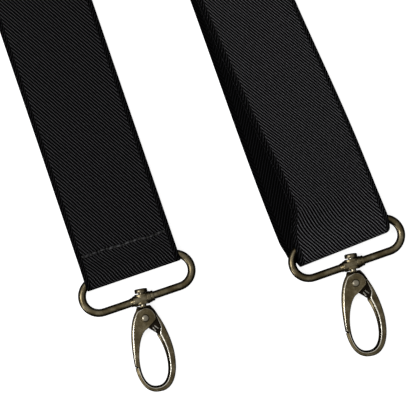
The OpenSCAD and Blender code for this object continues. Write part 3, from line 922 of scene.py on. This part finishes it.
def ring_mesh(bar, hub):
    """Oval wire ring, the collar round its lower bar with a shelf and two steps, and the flattened hub."""
    mesh = Mesh()
    path = []
    for way, y in ((1, 0.0), (-1, RING_H)):
        path += [Vector((way * x, y, 0)) for x in spread(-RING_HALF, RING_HALF, 24)]
        path += [Vector((way * (RING_HALF + RING_END_R * cos(q)), RING_END_R + way * RING_END_R * sin(q), 0))
                 for q in spread(-pi / 2, pi / 2, 28)[1:-1]]
    tube(mesh, bar, path, WIRE_R, 24, True)
    collar = Place(bar.o + bar.y * RING_H * MM, bar.x, bar.y, bar.z, bar.side)
    sleeve = [(-4.75, 0.01), (-4.75, 1.62), (-4.6, 1.72), (-3.7, 1.8), (-3.5, 1.95), (-3.3, 2.12),
              (-3.1, 2.16), (1.7, 2.16), (1.9, 2.1), (2.0, 1.9), (2.02, 0.01)]
    lathe(mesh, collar, "x", sleeve)
    lathe(mesh, collar, "x", rounded(1.98, 3.5, 2.22, 0.18))
    lathe(mesh, collar, "x", rounded(3.45, 4.75, 2.02, 0.22))
    lathe(mesh, hub, "y", rounded(-BOSS_H / 2, BOSS_H / 2, BOSS_R, 0.35), flat=0.7)
    return mesh


def pin_mesh(hub, neck_y):
    """Swivel pin: shank from the hook's neck through the boss, with a turned cap."""
    mesh = Mesh()
    top = BOSS_H / 2 + 0.3
    low, high = neck_y - 0.05, -top - 0.3
    lathe(mesh, hub, "y", [(low, 0.01), (low, PIN_R), (high, PIN_R), (high, 0.01)], 32)
    cap = [(0.0, 0.01), (0.0, 2.2), (0.1, 2.42), (0.3, 2.5), (1.3, 2.5), (1.55, 2.38), (1.7, 2.1),
           (1.78, 1.2), (1.8, 0.01)]
    lathe(mesh, hub, "y", [(-top - h, r) for h, r in cap])
    return mesh


# ---- hook --------------------------------
def egg(cu, cv, a, up, down, nu, nd, q):
    """Point of an egg-shaped superellipse at the parameter q, in radians."""
    s, c = sin(q), cos(q)
    n, b = (nu, up) if s < 0 else (nd, down)
    return (cu + a * copysign(abs(c) ** (2 / n), c), cv + b * copysign(abs(s) ** (2 / n), s))


# eggs as middle (u, v), half width, reach up, reach down
BODY_EGG = (0.85, 19.4, 8.0, 20.2, 13.6)
EYE_EGG = (0.3, 21.5, 5.3, 13.0, 9.1)
BODY_N = 2.35
SHOULDER_N = 1.6


def outer_egg(q):
    """Outside of the hook's bow."""
    return egg(*BODY_EGG, SHOULDER_N, BODY_N, q)


def lever_egg(q):
    """Outside of the lever, fuller at the shoulder than the bow."""
    return egg(*BODY_EGG, BODY_N, BODY_N, q)


def inner_egg(q):
    """The hook's eye."""
    return egg(*EYE_EGG, 1.75, 2.3, q)


def egg_side(shape, v, side):
    """The egg's outline at the height v, on its right (1) or left (-1) side."""
    low, high = -pi / 2, pi / 2
    for _ in range(40):
        middle = (low + high) / 2
        q = middle if side > 0 else pi - middle
        if shape(q)[1] < v:
            low = middle
        else:
            high = middle
    return shape(low if side > 0 else pi - low)


def egg_ray(shape, centre, angle):
    """Where a ray from centre meets the egg; angle 0 is to the right and 90 degrees down the hook."""
    best, found = 9.0, None
    low, high = -pi / 2, 3 * pi / 2
    for _ in range(4):
        step = (high - low) / 60
        for k in range(61):
            q = low + step * k
            u, v = shape(q)
            miss = abs((atan2(v - centre[1], u - centre[0]) - angle + pi) % (2 * pi) - pi)
            if miss < best:
                best, found = miss, q
        low, high = found - step, found + step
    return shape(found)


HALF_H = HOOK_T / 2
EYE = (0.5, 20.5)
POCKET_TOP_V = 2.7
# section of the hook's bow, from its outer to its inner wall: (share of the width, height from the middle)
BOW = [(0.0, 0.55), (0.01, 0.9), (0.04, 1.12), (0.1, 1.27), (0.2, 1.36), (0.4, 1.45), (0.55, 1.52),
       (0.6, 1.55), (0.635, 1.55), (0.67, 1.49), (0.7, 1.36), (0.8, 0.95), (0.9, 0.6),
       (0.97, 0.42), (1.0, 0.25)]
# band of the bow's section that takes the crest colour: painted highlight with wear
BOW_CREST = (0.59, 0.68)


def bow_skin(mesh, place, pairs):
    """Skin over the bow, from pairs of points on its outer and inner wall."""
    section = BOW + [(k, -z) for k, z in reversed(BOW)]
    rows = []
    for (u, v), (inner_u, inner_v) in pairs:
        rows.append([place(u + (inner_u - u) * k, v + (inner_v - v) * k, z) for k, z in section])
    # the crest band is painted in the crest colour: painted highlight with wear
    mesh.skin(rows, lambda i, k: (1.0 if BOW_CREST[0] < section[k][0] < BOW_CREST[1] else 0.0, 0.0))


def hook_mesh(neck):
    """The hook's bow, from beside the spring pocket round to the nose, and the disc at its neck."""
    mesh = Mesh()
    pairs = []
    # beside the spring pocket, then down the right side
    for v in spread(POCKET_TOP_V, 10.4, 16):
        ridge = 4.15 + 0.6 * ease(v, 4.0, 8.0) - 1.55 * ease(v, 8.0, 11.0)
        pairs.append((egg_side(outer_egg, v, 1), (ridge, v + 0.6)))
    for v in spread(11.2, 19.6, 16):
        pairs.append((egg_side(outer_egg, v, 1), egg_side(inner_egg, v + 0.5, 1)))
    for q in spread(0.02, pi + 0.10, 60):
        pairs.append((egg_ray(outer_egg, EYE, q), egg_ray(inner_egg, EYE, q)))
    pairs = [p for p in pairs if p[0][0] > EYE[0] or p[0][1] > LEVER_V + 0.3]
    last_outer = egg_side(outer_egg, LEVER_V + 0.02, -1)
    last_inner = egg_side(inner_egg, LEVER_V + 0.72, -1)
    pairs.append((last_outer, last_inner))
    bow_skin(mesh, neck, pairs)
    lathe(mesh, neck, "y", rounded(-0.45, -0.1, 2.6, 0.12), 36)
    return mesh


def tongue_mesh(neck):
    """The hook's flat middle: it lies between the lever's cheeks and runs out under the pocket to the bow."""
    mesh = Mesh()
    tongue = [(-2.6, -0.4), (2.6, -0.4), (3.9, 1.5), (4.75, 3.3), (5.3, 5.5), (5.6, 8.0), (4.9, 11.3),
              (4.0, 11.4), (2.95, 10.4), (1.9, 9.45), (1.0, 8.7), (0.35, 8.1), (-1.8, 6.9), (-3.6, 5.8),
              (-3.9, 3.6), (-3.5, 1.5)]
    plate(mesh, neck, tongue, -TONGUE_T / 2, TONGUE_T / 2, 0.15)
    # small tenon of the nose, seen through the slit at the lever's tip
    outside = [egg_side(lever_egg, LEVER_V + below, -1) for below in (-0.9, 0.0, 1.2)]
    inside = [egg_side(inner_egg, LEVER_V + below, -1) for below in (1.6, 0.8, -0.1)]
    tenon = [(u + 0.35, v) for u, v in outside] + [(u - 0.3, v) for u, v in inside]
    plate(mesh, neck, tenon, -TONGUE_T / 2, TONGUE_T / 2, 0.1)
    return mesh


def inset(points, amounts):
    """The outline moved inwards, each corner by its own amount."""
    n = len(points)
    area = sum(a[0] * b[1] - b[0] * a[1] for a, b in zip(points, points[1:] + points[:1]))
    turn = 1.0 if area > 0 else -1.0
    out = []
    for i, amount in enumerate(amounts):
        p, a, b = Vector(points[i]), Vector(points[i - 1]), Vector(points[(i + 1) % n])
        u, v = (p - a).normalized(), (b - p).normalized()
        normal = ((Vector((-u.y, u.x)) + Vector((-v.y, v.x))) * turn).normalized()
        share = max(0.55, normal.dot(Vector((-u.y, u.x)) * turn))
        out.append(p + normal * amount / share)
    return [(p.x, p.y) for p in out]


def plate(mesh, place, points, low, high, bevel):
    """A flat plate between two heights, its rims rounded by bevel."""
    rim = [(1.6, 0.0), (1.0, 0.0), (0.62, 0.08), (0.3, 0.3), (0.08, 0.62), (0.0, 1.0)]
    levels = [(bevel * a, low + bevel * b) for a, b in rim]
    levels += [(bevel * a, high - bevel * b) for a, b in reversed(rim)]
    rows = [[place(x, y, z) for x, y in inset(points, [d] * len(points))] for d, z in levels]
    mesh.skin(rows)


GATE_TOP_V = 0.7
# chamfer of a lever cheek from its rim inwards: (share of the inset, height as a share of the cheek)
CHEEK = [(0.04, 0.0), (0.0, 0.08), (0.0, 0.2), (0.15, 0.42), (0.3, 0.6), (0.45, 0.74), (0.6, 0.86),
         (0.7, 0.925), (0.78, 0.965), (0.86, 0.988), (1.0, 1.0), (1.3, 1.0)]
# span of the chamfer that takes the crest colour: painted highlight with wear
CHEEK_CREST = (0.65, 0.8)
EYE_CHAMFER = 0.22


def gate_outline():
    """Outline of the lever with the width of its chamfer at each point: round top over the rivet, outer side
    down to the tip, inner side back up to the eye's top, and the slanting edge beside the spring pocket."""
    points = []
    for q in spread(13, -88, 26):
        a = radians(q)
        points.append((LEVER_R * cos(a), RIVET_V + LEVER_R * sin(a), 0.75))
    for v in spread(GATE_TOP_V, LEVER_V - 0.33, 40):
        point = egg_side(lever_egg, v, -1)
        points.append((*point, 1.25 - 0.6 * ease(v, 12.0, LEVER_V)))
    points.append((*egg_side(inner_egg, LEVER_V + 0.33, -1), 0.3))
    for v in spread(LEVER_V - 0.3, 9.6, 26):
        points.append((*egg_side(inner_egg, v, -1), EYE_CHAMFER))
    for point in ((-0.83, 9.0), (-0.15, 8.65), (0.4, 8.28), (1.6, 7.35), (2.8, 6.4), (3.85, 5.55)):
        points.append((*point, EYE_CHAMFER))
    return points


def lever_mesh(neck):
    """The lever: two cheeks with a broad chamfer, painted bright along its crest as a highlight with wear,
    and the web between them.
    """
    mesh = Mesh()
    outline = gate_outline()
    face = TONGUE_T / 2 + 0.05

    # the crest takes the crest colour, except beside the eye: painted highlight with wear
    def rubbed_and_highlit(i, k):
        on_crest = CHEEK_CREST[0] < CHEEK[i][0] < CHEEK_CREST[1]
        return 0.65 if on_crest and outline[k][2] > EYE_CHAMFER + 0.03 else 0.0, 0.0

    for sign in (1, -1):
        flat = [(u, v) for u, v, _ in outline]
        rows = []
        for share, height in CHEEK:
            moved = inset(flat, [share * width for _, _, width in outline])
            rows.append([neck(u, v, sign * (face + (HALF_H - face) * height)) for u, v in moved])
        mesh.skin(rows, rubbed_and_highlit)
    outside = [egg_side(lever_egg, v, -1) for v in spread(8.2, LEVER_V - 1.3, 22)]
    inside = [egg_side(inner_egg, v, -1) for v in spread(LEVER_V - 0.6, 10.0, 18)]
    core = [(u + 0.12, v) for u, v in outside] + [(u - 0.12, v) for u, v in inside]
    core += [(-2.2, 8.3), (-3.6, 7.7)]
    plate(mesh, neck, core, -face - 0.02, face + 0.02, 0.05)
    return mesh


def rivet_mesh(neck):
    """Rivet through the lever's cheeks and the tongue, with a domed head on both sides."""
    place = Place(neck.o + neck.y * RIVET_V * MM, neck.x, neck.y, neck.z, neck.side)
    mesh = Mesh()
    base = HALF_H + 0.02
    dome = [(0.0, 1.0), (0.0, 1.45), (0.1, 1.55), (0.3, 1.48), (0.45, 1.3), (0.57, 1.02), (0.64, 0.7),
            (0.68, 0.35), (0.69, 0.05)]
    for sign in (1, -1):
        rows = []
        for h, r in dome:
            rows.append([place(r * cos(q), r * sin(q), sign * (base + h)) for q in circle(32)])
        # the dome's top takes the crest colour: a painted highlight
        mesh.skin(rows, lambda i, k: (0.22 if i > 4 else 0.0, 0.0))
    rows = [[place(RIVET_R * cos(q), RIVET_R * sin(q), z) for q in circle(24)]
            for z in (-HALF_H - 0.1, HALF_H + 0.1)]
    mesh.skin(rows)
    return mesh


SPRING_WIRE_R = 0.27


def spring_mesh(neck):
    """The two ends of the spring's wire, on the tongue and pointing away from the rivet."""
    mesh = Mesh()
    lifted = Place(neck.o + neck.z * (TONGUE_T / 2 + 0.3) * MM, neck.x, neck.y, neck.z, neck.side)
    for q in (30, 42):
        a = radians(q)
        d = Vector((sin(a), cos(a), 0))
        path = [Vector((0, RIVET_V, 0)) + d * r for r in spread(4.5, 6.4, 8)]
        tube(mesh, lifted, path, SPRING_WIRE_R, 12)
    return mesh


for kind in ("back", "front"):
    for side in SIDES:
        bar, hub, neck = hardware_places(kind, side)
        neck_y = (neck.o - hub.o).length / MM
        # name, mesh, material, angle of sharp edges, body, slot, CAD node
        pieces = (
            ("ring_body", ring_mesh(bar, hub), BRONZE, 40, "ring", "antique_bronze", "ring"),
            ("pin_turned", pin_mesh(hub, neck_y), DARK_BRONZE, 40, "hook", "dark_bronze", "swivel_pin"),
            ("hook_bow", hook_mesh(neck), BRONZE, 35, "hook", "antique_bronze", "hook"),
            ("hook_tongue", tongue_mesh(neck), RECESS_SHADE_BRONZE, 35, "hook", "dark_bronze", None),
            ("lever_gate", lever_mesh(neck), BRONZE, 25, "lever", "antique_bronze", "lever"),
            ("rivet_domed", rivet_mesh(neck), DARK_BRONZE, 40, "hook", "dark_bronze", "rivet"),
            ("spring_wire", spring_mesh(neck), SPRING, 60, "hook", "spring_steel", "spring"))
        for name, mesh, material, smooth, body, slot, node in pieces:
            piece = mesh.build(f"{kind}_{name}_{side}", material, smooth)
            nodes = [f"{kind}_{node}_{side}"] if node else []
            finish_piece(piece, f"{kind}_{side}_{body}", slot, *nodes)

# ---- slide adjuster ----------------------
ADJ_RAIL = 2.4
RAIL_X = HALF_W + 1.2 + ADJ_RAIL / 2
ADJ_OUTER_Z = ADJ_SIDE_Z + HALF_T + 0.1 + ADJ_BAR_R
RAIL_END = ADJ_PITCH + 1.95


def rail_outline():
    """Side view of a rail as (distance from the middle bar, height): low in the middle, round ends."""
    def middle(y):
        return ADJ_BAR_Z + 0.15 + (ADJ_OUTER_Z - ADJ_BAR_Z) * ease(abs(y), 2.0, ADJ_PITCH - 0.5)

    def half(y):
        return 1.75 - 0.42 * ease(abs(y), 2.0, ADJ_PITCH)

    flat = RAIL_END - half(ADJ_PITCH)
    points = []
    for way in (1, -1):
        points += [(way * y, middle(y) + way * half(y)) for y in spread(-flat, flat, 40)]
        points += [(way * (flat + half(flat) * cos(q)), middle(flat) + way * half(flat) * sin(q))
                   for q in spread(pi / 2, -pi / 2, 12)[1:-1]]
    return points


def adjuster_mesh(side):
    """Three round bars with small shoulders, held by two curved side rails."""
    place = front_place(side)
    mesh = Mesh()
    inner, reach = HALF_W + 0.55, RAIL_X - 0.2
    r, shoulder = ADJ_BAR_R - 0.01, ADJ_BAR_R + 0.22
    for y, z in ((-ADJ_PITCH, ADJ_OUTER_Z), (0.0, ADJ_BAR_Z), (ADJ_PITCH, ADJ_OUTER_Z)):
        outline = [(-reach, 0.01), (-reach, shoulder), (-inner - 0.12, shoulder), (-inner, shoulder - 0.06),
                   (-inner + 0.06, r)]
        outline += [(x, r) for x in spread(-inner + 1.0, inner - 1.0, 12)]
        outline += [(-x, radius) for x, radius in reversed(outline[:5])]
        bar = Place(place.o + (place.y * (ADJ_Q + y) + place.z * z) * MM, place.x, place.y, place.z, side)
        lathe(mesh, bar, "x", outline, 28)
    for end in (-1, 1):
        origin = place.o + (place.y * ADJ_Q + place.x * (end * RAIL_X)) * MM
        rail = Place(origin, place.y, place.z, place.x, side)
        plate(mesh, rail, rail_outline(), -ADJ_RAIL / 2, ADJ_RAIL / 2, 0.45)
    return mesh


for side in SIDES:
    piece = adjuster_mesh(side).build("adjuster_body_" + side, BRONZE, 50)
    finish_piece(piece, "adjuster_" + side, "antique_bronze", "adjuster_frame_" + side)

# ---- floor, light and camera -------------
bpy.ops.mesh.primitive_plane_add(size=8, location=(0, 0, -0.0004))
floor = bpy.context.object
floor.name = "floor"
floor.data.materials.append(floor_material())
floor.visible_glossy = False

VIEW_DISTANCE = 0.9
VIEW_WIDTH = 0.1612
VIEW_TILT = radians(4)
SENSOR_MM = 36
target = Vector((bar_back.x, bar_back.y, 0)) + Vector((29.5, 23.2, 0)) * MM


def area_light(name, place, size, power):
    """Rectangular lamp that points at the view's target."""
    light = bpy.data.lights.new(name, "AREA")
    light.shape = "RECTANGLE"
    light.size, light.size_y = size
    light.energy = power
    obj = bpy.data.objects.new(name, light)
    obj.location = place
    obj.rotation_euler = (target - Vector(place)).to_track_quat("-Z", "Y").to_euler()
    scene.collection.objects.link(obj)


area_light("key", target + Vector((-0.62, -0.12, 0.72)), (0.16, 0.5), 2.8)
area_light("low_left", target + Vector((-0.75, -0.6, 0.3)), (0.3, 0.2), 1.4)


def studio_world():
    """Soft room light: even overhead, brighter to the left, dark below the horizon."""
    world = bpy.data.worlds.new("studio")
    world.use_nodes = True
    tree = world.node_tree
    where = tree.nodes.new("ShaderNodeTexCoord")
    split = tree.nodes.new("ShaderNodeSeparateXYZ")
    tree.links.new(where.outputs["Generated"], split.inputs[0])

    def step(axis, low, high, bottom, top):
        """Smooth change from bottom to top while the direction goes from low to high along an axis."""
        node = tree.nodes.new("ShaderNodeMapRange")
        node.interpolation_type = "SMOOTHSTEP"
        for name, value in (("From Min", low), ("From Max", high), ("To Min", bottom), ("To Max", top)):
            node.inputs[name].default_value = value
        tree.links.new(split.outputs[axis], node.inputs["Value"])
        return node.outputs[0]

    both = tree.nodes.new("ShaderNodeMath")
    both.operation = "MULTIPLY"
    tree.links.new(step("Z", 0.25, 0.98, 0.01, 0.7), both.inputs[0])
    tree.links.new(step("X", 0.1, -0.9, 0.75, 1.5), both.inputs[1])
    tree.links.new(both.outputs[0], tree.nodes["Background"].inputs["Strength"])
    tree.nodes["Background"].inputs["Color"].default_value = (1, 0.99, 0.97, 1)
    return world


scene.world = studio_world()
scene.view_settings.view_transform = "Standard"

camera = bpy.data.objects.new("camera", bpy.data.cameras.new("camera"))
camera.data.sensor_width = SENSOR_MM
camera.data.lens = SENSOR_MM * VIEW_DISTANCE / VIEW_WIDTH
camera.location = target + VIEW_DISTANCE * Vector((0, -sin(VIEW_TILT), cos(VIEW_TILT)))
camera.rotation_euler = (VIEW_TILT, 0, 0)
scene.collection.objects.link(camera)
scene.camera = camera
